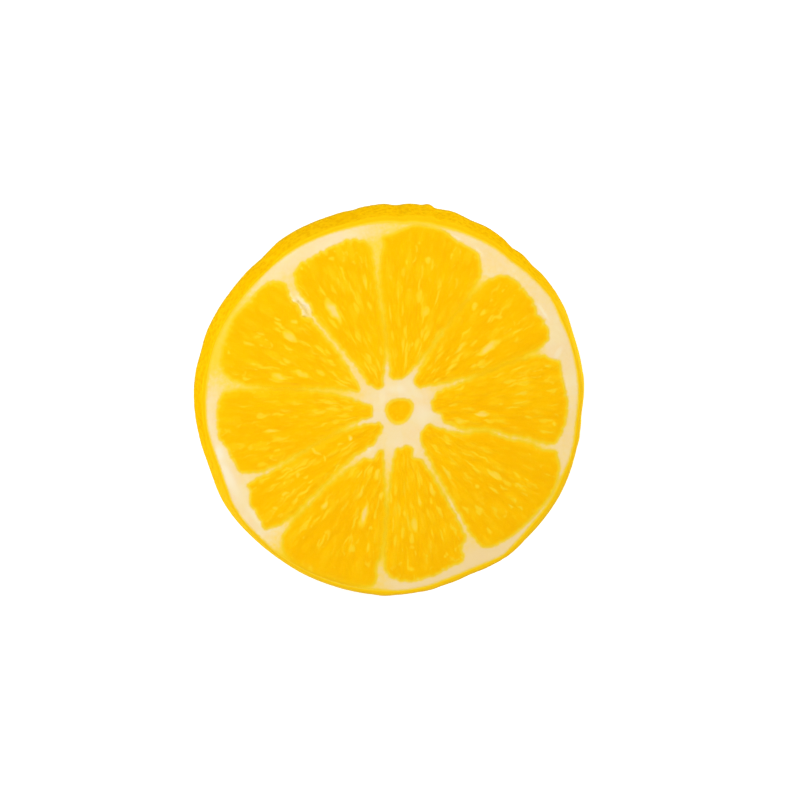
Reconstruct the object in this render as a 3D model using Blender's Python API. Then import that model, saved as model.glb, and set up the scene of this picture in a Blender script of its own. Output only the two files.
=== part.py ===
# A round slice of a fresh lemon, lying on one of its two cut faces.
#
# +Z is up. The origin is under the middle of the slice, on the surface that the slice lies on.
# Angles are in degrees, counted from +X towards +Y. The slice is one solid: peel, pith, membranes
# and flesh are grown together, and the juice sacs stand out on both cut faces as low relief.

import math
import random

import bpy
from mathutils import Vector
from mathutils.geometry import delaunay_2d_cdt

for old in list(bpy.data.objects):
    bpy.data.objects.remove(old)

MM = 0.001

# The whole slice
THICKNESS = 5.8 * MM  # from the surface below to the pith of the upper face
UPPER_RADIUS = 30.4 * MM  # outside of the peel at the upper face
LOWER_RADIUS = 31.15 * MM  # the lower face was cut nearer to the lemon's waist
PEEL_WIDTH = 0.75 * MM  # the coloured outer skin
WALL_BULGE = 0.12 * MM  # how far the peel stands proud of a straight wall, half way up
EDGE_ROUNDING = 0.15 * MM  # where the knife left the peel
RIM_POINTS = 120

# How the rim strays from a circle: waves round the rim, their height (mm), the angle of one crest
RIM_WAVES = (
    (2, 0.20, 50),
    (3, 0.17, 59),
    (4, 0.07, 71),
    (5, 0.07, 28),
    (7, 0.10, 16),
    (8, 0.07, 34),
    (12, 0.06, 3),
)
NICK_ANGLE = 77  # a small flat on the rim
NICK_HALF_WIDTH = 5
NICK_DEPTH = 0.2 * MM

# The core: where the segments point to, and the soft eye in it, an egg with its narrow end at EYE_TURN
CORE = Vector((1.1, -1.1)) * MM
CORE_RING = 3.4 * MM
CORE_POINTS = 24
EYE_MIDDLE = Vector((0.9, -1.0)) * MM
EYE_LENGTH = 2.3 * MM
EYE_WIDTH = 1.9 * MM
EYE_TURN = 32
EYE_POINTS = 16
EYE_RINGS = (1.0, 0.72, 0.36)

# Membranes in turn round the core: the angle and distance (mm) from the core where one starts, the
# angle on the rim that it runs to, and its bow to the left (mm) at one and two thirds of its way
MEMBRANES = (
    (41, 5.7, 20, -0.4, 0.0),
    (74, 5.7, 55, 0.2, 0.2),
    (110, 5.8, 96, -0.4, 0.0),
    (147, 6.8, 129, 0.0, 0.4),
    (158, 5.9, 172, -0.8, -0.2),
    (198, 4.3, 206, -0.5, 0.2),
    (237, 6.4, 228, -0.4, -0.2),
    (253, 5.8, 266, 0.2, 0.4),
    (298, 5.9, 300, 0.4, 0.6),
    (350, 4.4, 345, -1.2, -0.1),
)
MEMBRANE_END = 27.0 * MM  # distance from the middle of the slice where a membrane opens into pith
MEMBRANE_HALF_WIDTH = 0.28 * MM
MEMBRANE_STEPS = 16

# Flesh between each membrane and the next: the distance of its tip from the core (mm), how far its
# outer end reaches from the middle of the slice (mm), and how square its corners are (2 is an oval)
SEGMENTS = (
    (5.7, 27.9, 5.0),
    (5.3, 29.3, 3.2),
    (5.0, 27.8, 6.0),
    (7.5, 29.2, 4.5),
    (4.3, 28.2, 5.0),
    (4.0, 28.1, 5.0),
    (6.9, 29.6, 4.5),
    (5.5, 28.7, 5.0),
    (5.1, 29.4, 5.0),
    (5.3, 28.0, 5.0),
)
LEAST_PITH = 0.3 * MM  # between flesh and peel
OUTLINE_STEP = 1.35 * MM
SCALLOP_DEPTH = 0.12 * MM

# Juice sacs, long along the segment
SAC_WIDTH = 1.65 * MM
SAC_LENGTH = 3.9 * MM
SAC_JITTER = 0.22  # share of a sac's width and length
SAC_CLEARANCE = 0.5 * MM  # least distance of a sac's crown from the outline of its segment
STRETCH = SAC_WIDTH / SAC_LENGTH

# Heights over the level of the pith: lowest and highest, for the upper face and for the lower one,
# which rests on its pith
UPPER_RELIEF = {
    "rim": (0.0, 0.0),
    "pith": (0.0, 0.0),
    "membrane": (0.03 * MM, 0.1 * MM),
    "core": (-0.12 * MM, -0.04 * MM),
    "eye": (-0.7 * MM, -0.5 * MM),
    "outline": (-0.36 * MM, -0.24 * MM),
    "crown": (0.04 * MM, 0.25 * MM),
    "valley": (-0.3 * MM, -0.18 * MM),
}
LOWER_RELIEF = {
    "rim": (0.0, 0.0),
    "pith": (0.0, 0.0),
    "membrane": (0.0, 0.0),
    "core": (0.0, 0.0),
    "eye": (0.0, 0.0),
    "outline": (0.24 * MM, 0.3 * MM),
    "crown": (0.04 * MM, 0.12 * MM),
    "valley": (0.24 * MM, 0.32 * MM),
}

# Finishes: colour, roughness
PEEL = ("peel", (0.98, 0.60, 0.01), 0.38)
PITH = ("pith", (0.955, 0.745, 0.402), 0.6)
FLESH = ("flesh", (0.98, 0.552, 0.004), 0.25)
FINISHES = (PEEL, PITH, FLESH)
IN_PEEL, IN_PITH, IN_FLESH = range(3)

SEED = 7


def polar(distance, degrees):
    return Vector((math.cos(math.radians(degrees)), math.sin(math.radians(degrees)))) * distance


def angle_of(point):
    return math.degrees(math.atan2(point.y, point.x))


def rim_wave(degrees):
    wave = sum(
        height * MM * math.cos(math.radians(count * (degrees - crest)))
        for count, height, crest in RIM_WAVES
    )
    from_nick = abs((degrees - NICK_ANGLE + 180) % 360 - 180) / NICK_HALF_WIDTH
    return wave - NICK_DEPTH * max(0.0, 1 - from_nick)


def ring(radius):
    """Points of the wavy circle round the slice's middle."""
    angles = [360 * i / RIM_POINTS for i in range(RIM_POINTS)]
    return [polar(radius + rim_wave(degrees), degrees) for degrees in angles]


def eye_loop(share):
    """The egg-shaped eye, drawn in to a share of its size."""
    points = []
    for i in range(EYE_POINTS):
        turn = 2 * math.pi * i / EYE_POINTS
        narrowing = 1 - 0.25 * math.cos(turn)
        x = EYE_LENGTH * math.cos(turn) * share
        y = EYE_WIDTH * math.sin(turn) * narrowing * share
        c, s = math.cos(math.radians(EYE_TURN)), math.sin(math.radians(EYE_TURN))
        points.append(EYE_MIDDLE + Vector((x * c - y * s, x * s + y * c)))
    return points


def membrane_points(angle, distance, rim_angle, bow_near, bow_far):
    """One membrane's middle line, from the core to the pith."""
    start = CORE + polar(distance * MM, angle)
    end = polar(MEMBRANE_END, rim_angle)
    left = (end - start).orthogonal().normalized()
    points = []
    for i in range(MEMBRANE_STEPS + 1):
        t = i / MEMBRANE_STEPS
        bow = 13.5 * t * (1 - t) * (bow_near * (2 / 3 - t) + bow_far * (t - 1 / 3))
        points.append(start.lerp(end, t) + left * bow * MM)
    return points


def seen_from_core(points):
    """The same points as distances from the core and angles there, which never step back over 0."""
    distances = [(p - CORE).length for p in points]
    angles = [angle_of(p - CORE) % 360 for p in points]
    return distances, angles


def angle_at(line, distance):
    """The angle, seen from the core, at which a membrane is at this distance from it."""
    distances, angles = line
    if distance <= distances[0]:
        return angles[0]
    for i in range(1, len(distances)):
        if distance <= distances[i]:
            share = (distance - distances[i - 1]) / (distances[i] - distances[i - 1])
            return angles[i - 1] + share * (angles[i] - angles[i - 1])
    return angles[-1]


def distance_to_circle(degrees, radius):
    """How far it is from the core, at this angle, to a circle round the slice's middle."""
    along = CORE.dot(polar(1, degrees))
    return math.sqrt(radius * radius - CORE.length_squared + along * along) - along


class Segment:
    """One wedge of flesh between two membranes, with places in it given as (across, along), each -1 to 1."""

    def __init__(self, right, left, tip, reach, squareness):
        turn = 360 if left[1][0] < right[1][0] else 0
        self.right = right
        self.left = (left[0], [angle + turn for angle in left[1]])
        self.tip = tip * MM
        self.reach = reach * MM
        self.squareness = squareness
        self.axis = polar(1, (self.right[1][-1] + self.left[1][-1]) / 2)

    def span(self, distance):
        """The angles of the flesh's two sides at this distance from the core."""
        gap = math.degrees(MEMBRANE_HALF_WIDTH / distance)
        return angle_at(self.right, distance) + gap, angle_at(self.left, distance) - gap

    def place(self, across, along):
        degrees = angle_of(self.axis)
        point = CORE + polar(self.reach, degrees)
        for _ in range(5):
            pith_edge = UPPER_RADIUS - PEEL_WIDTH + rim_wave(angle_of(point)) - LEAST_PITH
            outer = distance_to_circle(degrees, min(self.reach, pith_edge))
            distance = self.tip + (1 + along) / 2 * (outer - self.tip)
            low, high = self.span(distance)
            degrees = low + (1 + across) / 2 * (high - low)
            point = CORE + polar(distance, degrees)
        return point

    def on_outline(self, turn):
        """The place on the outline at this turn (radians), on a squared oval."""
        across, along = math.cos(turn), math.sin(turn)
        size = (abs(across) ** self.squareness + abs(along) ** self.squareness) ** (-1 / self.squareness)
        return self.place(across * size, along * size)

    def outline(self, dice):
        """Points at even steps round the flesh, with the small scallops of its outermost sacs."""
        fine = [self.on_outline(2 * math.pi * i / 400) for i in range(400)]
        lengths = [0.0]
        for a, b in zip(fine, fine[1:] + fine[:1]):
            lengths.append(lengths[-1] + (b - a).length)
        count = 2 * round(lengths[-1] / OUTLINE_STEP / 2)
        points = []
        j = 0
        for i in range(count):
            wanted = lengths[-1] * i / count
            while lengths[j + 1] < wanted:
                j += 1
            share = (wanted - lengths[j]) / (lengths[j + 1] - lengths[j])
            point = fine[j].lerp(fine[(j + 1) % 400], share)
            outwards = max(0.0, ((point - CORE).length - 0.7 * self.reach) / (0.3 * self.reach))
            depth = SCALLOP_DEPTH * outwards * (i % 2) * dice.uniform(0.4, 1)
            points.append(point - (point - CORE).normalized() * depth)
        return points

    def shortened(self, point):
        """A view of the segment in which its long sacs are as wide as they are long."""
        return Vector((point.dot(self.axis) * STRETCH, self.axis.cross(point))) / MM

    def sac_crowns(self, dice):
        """The middles of the juice sacs, in staggered rows from the tip to the outer end."""
        length = self.reach - self.tip
        rows = round(length / (SAC_LENGTH * 0.62))
        crowns = []
        for row in range(rows):
            along = -1 + 2 * (row + 0.5) / rows
            distance = self.tip + (1 + along) / 2 * length
            low, high = self.span(distance)
            width = math.radians(high - low) * distance
            count = max(1, round(width / SAC_WIDTH))
            for i in range(count):
                side = (i + 0.5 + (0.25 if row % 2 else -0.25)) / count
                across = 2 * side - 1 + dice.uniform(-1, 1) * SAC_JITTER * SAC_WIDTH / width
                moved = along + dice.uniform(-1, 1) * SAC_JITTER * SAC_LENGTH / length
                crowns.append(self.place(across, moved))
        return crowns


def inside(point, outline):
    within = False
    for a, b in zip(outline, outline[1:] + outline[:1]):
        if (a.y > point.y) != (b.y > point.y):
            if point.x < a.x + (point.y - a.y) / (b.y - a.y) * (b.x - a.x):
                within = not within
    return within


def distance_to_outline(point, outline):
    nearest = LOWER_RADIUS
    for a, b in zip(outline, outline[1:] + outline[:1]):
        edge = b - a
        share = max(0.0, min(1.0, (point - a).dot(edge) / edge.length_squared))
        nearest = min(nearest, (point - a - edge * share).length)
    return nearest


def clear_of(point, others, gap):
    return all((point - other).length > gap for other in others)


def triangles_through(points, edges):
    """Triangles through all the points and along all the edges, out to the hull of the points."""
    done = delaunay_2d_cdt(points, edges, [], 0, 1e-7, True)
    sources = [found[0] for found in done[3]]
    return [[sources[corner] for corner in face] for face in done[2]]


class Face:
    """The layout of a cut face, seen from above: points, what each one belongs to, and triangles by finish."""

    def __init__(self):
        self.points = []
        self.kinds = []
        self.triangles = []

    def add(self, points, kind):
        first = len(self.points)
        self.points += points
        self.kinds += [kind] * len(points)
        return list(range(first, len(self.points)))

    def fill(self, numbers, edges, seen_as, finish_at):
        """Adds triangles, spread evenly in the view that seen_as gives, wherever there is a finish."""
        place = {number: i for i, number in enumerate(numbers)}
        found = triangles_through(
            [seen_as(self.points[number]) for number in numbers],
            [(place[a], place[b]) for a, b in edges],
        )
        for corners in found:
            corners = [numbers[i] for i in corners]
            a, b, c = (self.points[i] for i in corners)
            finish = finish_at((a + b + c) / 3)
            if finish is not None:
                self.triangles.append((corners, finish))


def loop_edges(loop):
    return list(zip(loop, loop[1:] + loop[:1]))


def add_sacs(face, segment, loop, dice):
    """Fills one segment's outline with juice sacs: a high crown each, with low valleys where sacs meet."""
    outline = [face.points[number] for number in loop]
    crowns = []
    for crown in segment.sac_crowns(dice):
        if inside(crown, outline) and distance_to_outline(crown, outline) > SAC_CLEARANCE:
            if clear_of(crown, crowns, SAC_WIDTH * 0.55):
                crowns.append(crown)
    seen = [segment.shortened(point) for point in crowns]
    valleys = []
    for neighbours in triangles_through(seen, []):
        middle = sum((crowns[i] for i in neighbours), Vector((0, 0))) / 3
        if inside(middle, outline) and distance_to_outline(middle, outline) > SAC_CLEARANCE * 0.8:
            if clear_of(middle, crowns + valleys, SAC_WIDTH * 0.3):
                valleys.append(middle)
    numbers = loop + face.add(crowns, "crown") + face.add(valleys, "valley")
    face.fill(
        numbers,
        loop_edges(loop),
        segment.shortened,
        lambda middle: IN_FLESH if inside(middle, outline) else None,
    )


def lay_out_face():
    """Peel, pith, membranes, core and ten segments of flesh, as one layout."""
    dice = random.Random(SEED)
    face = Face()
    rim = face.add(ring(UPPER_RADIUS - EDGE_ROUNDING), "rim")
    pith = face.add(ring(UPPER_RADIUS - PEEL_WIDTH), "pith")
    eye = [face.add(eye_loop(share), "core" if share == 1 else "eye") for share in EYE_RINGS]
    numbers = rim + pith + sum(eye, [])
    edges = loop_edges(rim) + loop_edges(pith)
    for loop in eye:
        edges += loop_edges(loop)
    numbers += face.add([EYE_MIDDLE], "eye")
    core_points = [CORE + polar(CORE_RING, 360 * i / CORE_POINTS) for i in range(CORE_POINTS)]
    numbers += face.add([p for p in core_points if not inside(p, eye_loop(1.1))], "core")

    lines = [membrane_points(*membrane) for membrane in MEMBRANES]
    for line in lines:
        line_numbers = face.add(line, "membrane")
        numbers += line_numbers
        edges += list(zip(line_numbers, line_numbers[1:]))

    seen = [seen_from_core(line) for line in lines]
    loops = []
    for i, shape in enumerate(SEGMENTS):
        segment = Segment(seen[i], seen[(i + 1) % len(seen)], *shape)
        loop = face.add(segment.outline(dice), "outline")
        add_sacs(face, segment, loop, dice)
        numbers += loop
        edges += loop_edges(loop)
        loops.append([face.points[number] for number in loop])

    rim_loop, pith_loop, eye_edge = ([face.points[i] for i in loop] for loop in (rim, pith, eye[0]))

    def finish_at(middle):
        if not inside(middle, rim_loop) or any(inside(middle, outline) for outline in loops):
            return None
        if inside(middle, eye_edge):
            return IN_FLESH
        return IN_PITH if inside(middle, pith_loop) else IN_PEEL

    face.fill(numbers, edges, lambda point: point / MM, finish_at)
    return face, rim


def sheet(face, relief, level, spread, seed):
    """The face's points at their heights, on a level, spread out from the middle."""
    dice = random.Random(seed)
    return [
        Vector((point.x * spread, point.y * spread, level + dice.uniform(*relief[kind])))
        for point, kind in zip(face.points, face.kinds)
    ]


def wall_ring(share):
    """The peel at this share of the height, between the two rounded edges."""
    height = EDGE_ROUNDING + share * (THICKNESS - 2 * EDGE_ROUNDING)
    radius = LOWER_RADIUS + share * (UPPER_RADIUS - LOWER_RADIUS)
    radius += WALL_BULGE * 4 * share * (1 - share)
    return [Vector((p.x, p.y, height)) for p in ring(radius)]


def bridge(below, above):
    """Triangles between two loops of the same length, facing outwards."""
    found = []
    for i in range(len(below)):
        j = (i + 1) % len(below)
        found.append((below[i], below[j], above[j]))
        found.append((below[i], above[j], above[i]))
    return found


def finish_material(name, colour, roughness):
    material = bpy.data.materials.new(name)
    material.use_nodes = True
    shader = material.node_tree.nodes["Principled BSDF"]
    shader.inputs["Base Color"].default_value = (*colour, 1)
    shader.inputs["Roughness"].default_value = roughness
    shader.inputs["Metallic"].default_value = 0
    return material


def lemon_slice():
    face, rim = lay_out_face()
    spread = (LOWER_RADIUS - EDGE_ROUNDING) / (UPPER_RADIUS - EDGE_ROUNDING)
    points = sheet(face, UPPER_RELIEF, THICKNESS, 1, SEED)
    points += sheet(face, LOWER_RELIEF, 0, spread, SEED + 1)
    below = len(face.points)
    faces = [corners for corners, _ in face.triangles]
    faces += [[below + corner for corner in reversed(corners)] for corners, _ in face.triangles]
    finishes = [number for _, number in face.triangles] * 2

    loops = [[below + corner for corner in rim]]
    for share in (0.0, 0.33, 0.67, 1.0):
        loops.append(list(range(len(points), len(points) + RIM_POINTS)))
        points += wall_ring(share)
    loops.append(rim)
    for lower, upper in zip(loops, loops[1:]):
        wall = bridge(lower, upper)
        faces += wall
        finishes += [IN_PEEL] * len(wall)

    across, along = [point.x for point in points], [point.y for point in points]
    middle = Vector((min(across) + max(across), min(along) + max(along), 0)) / 2
    mesh = bpy.data.meshes.new("lemon_slice")
    mesh.from_pydata([point - middle for point in points], [], faces)
    for finish in FINISHES:
        mesh.materials.append(finish_material(*finish))
    mesh.polygons.foreach_set("material_index", finishes)
    mesh.shade_smooth()
    mesh.set_sharp_from_angle(angle=math.radians(50))
    mesh.update()
    piece = bpy.data.objects.new("lemon_slice", mesh)
    bpy.context.scene.collection.objects.link(piece)
    return piece


lemon_slice()
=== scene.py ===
import math
import random

import bpy
import numpy as np
from mathutils import Matrix, Vector
from mathutils.geometry import delaunay_2d_cdt


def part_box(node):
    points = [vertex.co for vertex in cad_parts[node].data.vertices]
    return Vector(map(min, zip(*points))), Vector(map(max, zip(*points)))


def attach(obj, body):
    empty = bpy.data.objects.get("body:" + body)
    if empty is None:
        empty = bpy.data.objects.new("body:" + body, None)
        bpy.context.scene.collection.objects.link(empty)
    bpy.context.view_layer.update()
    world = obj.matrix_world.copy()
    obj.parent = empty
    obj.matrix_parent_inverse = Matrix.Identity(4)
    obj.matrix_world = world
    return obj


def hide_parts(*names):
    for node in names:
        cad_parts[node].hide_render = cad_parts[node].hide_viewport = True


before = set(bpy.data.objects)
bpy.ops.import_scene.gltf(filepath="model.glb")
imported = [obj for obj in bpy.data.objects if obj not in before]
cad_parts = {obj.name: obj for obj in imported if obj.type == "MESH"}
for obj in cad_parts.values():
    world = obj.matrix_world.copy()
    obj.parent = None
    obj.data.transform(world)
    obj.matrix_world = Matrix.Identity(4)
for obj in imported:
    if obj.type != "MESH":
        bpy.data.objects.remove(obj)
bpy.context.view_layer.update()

# A slice of fresh lemon on a white floor. Metres, +X to the photo's right, +Y up the cut face.
mm = 0.001

lemon = {
    "upperRadius": 30.54 * mm,
    "lowerRadius": 31.31 * mm,
    "peelWidths": (  # angle, mm
        (0, 0.7), (8, 0.58), (20, 0.6), (27, 0.74), (34, 0.36), (45, 0.54), (50, 0.8), (57, 0.82), (64, 1.1),
        (72, 1.28), (84, 1.3), (87, 1.5), (90, 1.3), (96, 1.07), (102, 0.95), (112, 0.8), (128, 0.62),
        (135, 0.52), (142, 0.38), (152, 0.42), (162, 0.47), (171, 0.72), (180, 0.72), (187, 0.6), (195, 0.82),
        (201, 0.97), (207, 0.88), (211, 0.62), (218, 0.5), (225, 0.58), (231, 0.37), (240, 0.6), (262, 0.8),
        (267, 0.88), (274, 0.7), (282, 0.7), (287, 0.88), (295, 1.03), (300, 0.92), (306, 0.45), (312, 0.8),
        (319, 1.08), (328, 0.95), (336, 1.08), (342, 0.66), (348, 0.64), (354, 0.82),
    ),
    "wallBulge": 0.12 * mm,
    "edgeRounding": 0.15 * mm,
    "core": (1.1 * mm, -1.1 * mm),
    "tallestSac": 0.25 * mm,  # over the pith
    "rimWaves": (  # count, height in mm, angle of one crest
        (1, 0.18, 350), (2, 0.18, 88), (3, 0.11, 60), (4, 0.09, 72), (5, 0.08, 26), (6, 0.045, 26),
        (7, 0.10, 16), (8, 0.07, 34), (12, 0.06, 3),
    ),
    "dents": (  # angle, half width, depth in mm; some are bumps
        (5, 6, -0.12), (19, 8, 0.15), (43, 4, 0.14), (51.5, 4, 0.26), (66, 6, 0.25), (77, 5, 0.2),
        (79, 2.5, -0.38), (88.5, 4, 0.3), (101.5, 3, 0.13), (131.5, 7, 0.25), (165.5, 7, 0.16),
        (202, 9, 0.15), (268, 4, -0.12), (282, 5, -0.12), (295, 6, 0.17), (308, 8, -0.18), (348, 3, -0.1),
        (356, 5, 0.13),
    ),
}
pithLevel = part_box("lemon_slice")[1].z - lemon["tallestSac"]
spread = lemon["lowerRadius"] / lemon["upperRadius"]  # the lower face is this much larger

# start from the core (angle, mm), angle on the rim, bow to the left (mm) at 1/3 and at 2/3, then how
# wide (mm) and how pale they are at the steps below: 0 is as yellow as the flesh, 1 as pale as the pith
membraneSteps = (5, 8, 11, 14, 17, 20, 23, 26)  # mm from the core
membranes = [
    (36, 5.7, 19.5, -0.25, -0.05, (1.1, 0.9, 0.6, 0.5, 0.3, 0.4, 0.6, 0.6),
     (0.9, 0.65, 0.7, 0.1, 0, 0.05, 0.4, 1)),
    (74, 5.7, 54.3, 0.15, 0.2, (0.9, 0.6, 0.4, 0.4, 0.3, 0.4, 0.6, 0.6),
     (1, 0.7, 0.3, 0.45, 0, 0.05, 0.35, 0.8)),
    (112, 5.8, 96, -0.4, 0.15, (0.9, 0.7, 0.45, 0.35, 0.5, 0.5, 0.6, 0.6),
     (0.9, 0.75, 0.2, 0.25, 0.5, 0.4, 0.6, 0.55)),
    (143, 6.8, 128.7, 0.0, 0.6, (1.2, 1.05, 1.0, 0.85, 0.85, 0.8, 0.9, 0.8),
     (0.9, 0.78, 0.7, 0.65, 0.65, 0.7, 0.85, 0.75)),
    (161, 5.9, 172, -0.7, -0.1, (1.0, 0.9, 0.6, 0.4, 0.35, 0.35, 0.5, 0.6),
     (0.9, 0.7, 0.45, 0.5, 0.1, 0.1, 0.4, 0.6)),
    (198, 4.3, 206.2, -0.5, 0.4, (0.7, 0.7, 0.5, 0.3, 0.4, 0.5, 0.6, 0.6),
     (1, 0.6, 0.1, 0.15, 0.35, 0.55, 0.75, 0.85)),
    (238, 6.4, 228.5, -0.75, -0.35, (1.3, 0.95, 0.85, 0.7, 0.5, 0.65, 0.5, 0.6),
     (0.9, 0.85, 0.65, 0.52, 0.4, 0.65, 0.35, 0.75)),
    (256, 5.8, 266.1, 0.2, 0.4, (1.0, 0.9, 0.7, 0.45, 0.35, 0.35, 0.5, 0.7),
     (0.95, 0.75, 0.6, 0.55, 0.2, 0.3, 0.3, 0.8)),
    (299, 5.9, 299.6, 0.15, 0.25, (1.2, 1.0, 0.8, 0.75, 0.7, 0.7, 0.8, 0.8),
     (0.9, 0.8, 0.7, 0.6, 0.8, 0.85, 0.75, 0.85)),
    (352, 4.4, 344.2, -1.0, 0.0, (1.2, 1.0, 0.8, 0.45, 0.65, 0.6, 0.6, 0.6),
     (0.95, 0.85, 0.6, 0.3, 0.8, 0.65, 0.6, 0.8)),
]
# how pale the pith is along the rim: angle, paleness
rimPaleness = ((0, 0.85), (20, 0.95), (45, 0.8), (70, 0.9), (90, 0.6), (110, 1), (135, 0.85), (150, 0.5),
               (165, 0.45), (178, 0.88), (205, 1), (225, 0.9), (232, 0.6), (238, 0.05), (250, 0), (258, 0.05),
               (264, 0.6), (272, 0.95), (290, 0.95), (315, 0.95), (340, 0.85))
# flesh between them: tip from the core (mm), reach from the middle (mm), how square the outer end and
# the tip are, depth of the notches (mm)
wedges = [
    (5.0, 27.9, 5.0, 4.0, 0.45),
    (5.3, 29.4, 3.2, 6.0, 0.15),
    (4.9, 27.8, 6.0, 6.0, 0.6),
    (7.3, 29.3, 4.5, 3.0, 0.45),
    (4.3, 28.2, 5.0, 7.0, 0.4),
    (3.5, 28.1, 5.0, 7.0, 0.3),
    (6.8, 30.0, 4.5, 3.0, 0.2),
    (5.5, 28.7, 5.0, 4.0, 0.4),
    (4.9, 29.4, 5.0, 6.0, 0.2),
    (5.3, 28.0, 5.0, 7.0, 0.3),
]
# how much further out the flesh reaches along the rim: angle, mm
reachShifts = (
    (0, 0.05), (6, -0.3), (11, -0.5), (16, 0.4), (21, 0.4), (28, -0.35), (34, 0.3), (40, -0.1), (50, 0.15),
    (60, -0.4), (67, 0.25), (73, -0.2), (80, -0.1), (88, 0.5), (95, 0), (101, -0.3), (105, 0.2), (108, -0.3),
    (113, -0.05), (120, -0.4), (127, 0.2), (137, -0.5), (144, -0.6), (152, -0.1), (162, -0.4), (172, 0),
    (190, -0.1), (193, -0.5), (197, -0.1), (204, -0.5), (210, -0.1), (218, -0.55), (226, 0.35), (232, -0.4),
    (238, 0), (262, 0), (272, 0.25), (283, 0.2), (291, -0.65), (298, 0.3), (308, -0.5), (316, -0.3),
    (323, 0), (337, 0.3), (345, 0.5), (350, 0),
)
wedgeShape = {
    "membraneEnd": 27.0 * mm,
    "membranePoints": 60,
    "rimPith": (26.3 * mm, 28.2 * mm),  # where a membrane's colour passes into the rim's
    "leastPith": 0.12 * mm,
    "notchPitch": 1.35 * mm,
    "ragged": 0.09,  # mm, along the membranes
    "outlineStep": 0.25 * mm,
}
# where an outline is pulled out of its regular shape: place on the face (mm), reach, then how far
nudges = {
    0: [(23.4, 15.1, 2.2, -0.6, -0.3)],
    1: [(11.0, 26.5, 3.8, -0.8, -1.1), (-1.0, 26.6, 1.7, -0.8, 0.5), (13.8, 20.3, 1.6, 0.5, 0.0)],
    2: [(-13.6, 16.3, 2.2, 0.35, 0.3)],
    3: [(-16.0, 17.5, 2.1, -0.8, -0.3), (-14.4, 15.1, 1.6, -0.65, -0.6)],
    4: [(-26.8, -7.9, 2.4, 0.8, 0.6), (-26.1, -9.7, 1.9, 0.8, 0.5), (-3.6, 0.1, 1.0, 0.0, 0.5)],
    5: [(-23.7, -13.9, 1.9, 1.2, 0.2), (-23.4, -15.2, 1.3, 0.5, 0.0), (-20.1, -19.1, 1.4, 0.0, -0.6)],
    6: [(-3.3, -7.8, 1.4, 0.2, -0.8), (-4.1, -27.7, 2.9, 1.0, -1.1)],
    7: [(12.1, -23.7, 2.5, -1.0, 0.3), (4.0, -8.2, 1.4, -0.8, -0.3), (1.4, -6.6, 0.9, 0.0, -0.5)],
    8: [(14.9, -4.7, 4.2, 0.1, 0.85), (24.5, -6.8, 3.5, 0.0, -0.45), (25.6, -8.4, 1.6, 0.6, 0.55)],
    9: [(25.5, 7.6, 1.6, 0.0, -0.8), (6.0, 1.6, 1.3, 0.6, -0.5), (7.1, -1.8, 1.3, 0.8, 0.3),
        (14.9, -4.7, 4.2, 0.1, 0.85), (24.5, -6.8, 3.5, 0.0, -0.45)],
}
core = np.array(lemon["core"])


# Shape of the fruit

def polar(distance, degrees):
    turn = np.radians(degrees)
    return np.stack([np.cos(turn) * distance, np.sin(turn) * distance], -1)


def angleOf(points):
    return np.degrees(np.arctan2(points[..., 1], points[..., 0]))


def rimWave(degrees):
    degrees = np.asarray(degrees, float)
    return sum(height * mm * np.cos(np.radians(count * (degrees - crest)))
               for count, height, crest in lemon["rimWaves"])


def dents(degrees):
    total = np.zeros(len(degrees))
    for at, halfWidth, depth in lemon["dents"]:
        away = np.abs((degrees - at + 180) % 360 - 180) / halfWidth
        total = total + depth * mm * (1 - smooth(away, 0, 1))
    return total


def aroundRim(degrees, table):
    angles, values = zip(*table)
    return np.interp(degrees, angles, values, period=360)


def skinWidth(degrees):
    return aroundRim(degrees, lemon["peelWidths"]) * mm


def rimLoop(radius, count, depth=0.0):
    # depth runs from the outside of the skin (0) to its inside (1)
    degrees = np.arange(count) * 360 / count
    outside = radius + rimWave(degrees) - (1 - depth) * dents(degrees)
    return polar(outside - depth * skinWidth(degrees), degrees)


def membraneLine(angle, distance, rimAngle, bowNear, bowFar, widths, paleness):
    start = core + polar(distance * mm, angle)
    end = polar(wedgeShape["membraneEnd"], rimAngle)
    t = np.linspace(0, 1, wedgeShape["membranePoints"])[:, None]
    left = np.array([start[1] - end[1], end[0] - start[0]]) / np.linalg.norm(end - start)
    bow = 13.5 * t * (1 - t) * (bowNear * (2 / 3 - t) + bowFar * (t - 1 / 3))
    points = start + (end - start) * t + left * bow * mm
    arm = points - core
    return {"distance": np.linalg.norm(arm, axis=1), "angle": angleOf(arm) % 360, "widths": widths,
            "paleness": paleness}


def alongMembrane(distance, values):
    return np.interp(distance / mm, membraneSteps, values)


def filmPaleness(points):
    # how pale the pith is here: along the membranes and along the rim
    arm = points - core
    distance, degrees = np.linalg.norm(arm, axis=1), angleOf(arm)
    nearest, pale = np.full(len(points), np.inf), np.ones(len(points))
    for row in membranes:
        line = membraneLine(*row)
        onLine = np.interp(distance, line["distance"], line["angle"])
        aside = np.abs((degrees - onLine + 180) % 360 - 180) * np.pi / 180 * distance
        closer = aside < nearest
        nearest = np.where(closer, aside, nearest)
        pale = np.where(closer, alongMembrane(distance, line["paleness"]), pale)
    atRim = smooth(np.linalg.norm(points, axis=1), *wedgeShape["rimPith"])
    return pale + (aroundRim(angleOf(points), rimPaleness) - pale) * atRim


def makeWedge(number):
    tip, reach, squareness, tipSquareness, notch = wedges[number]
    right = membraneLine(*membranes[number])
    left = membraneLine(*membranes[(number + 1) % len(membranes)])
    if left["angle"][0] < right["angle"][0]:
        left["angle"] = left["angle"] + 360
    return {"number": number, "right": right, "left": left, "tip": tip * mm, "reach": reach * mm,
            "squareness": squareness, "tipSquareness": tipSquareness, "notch": notch * mm}


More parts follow.
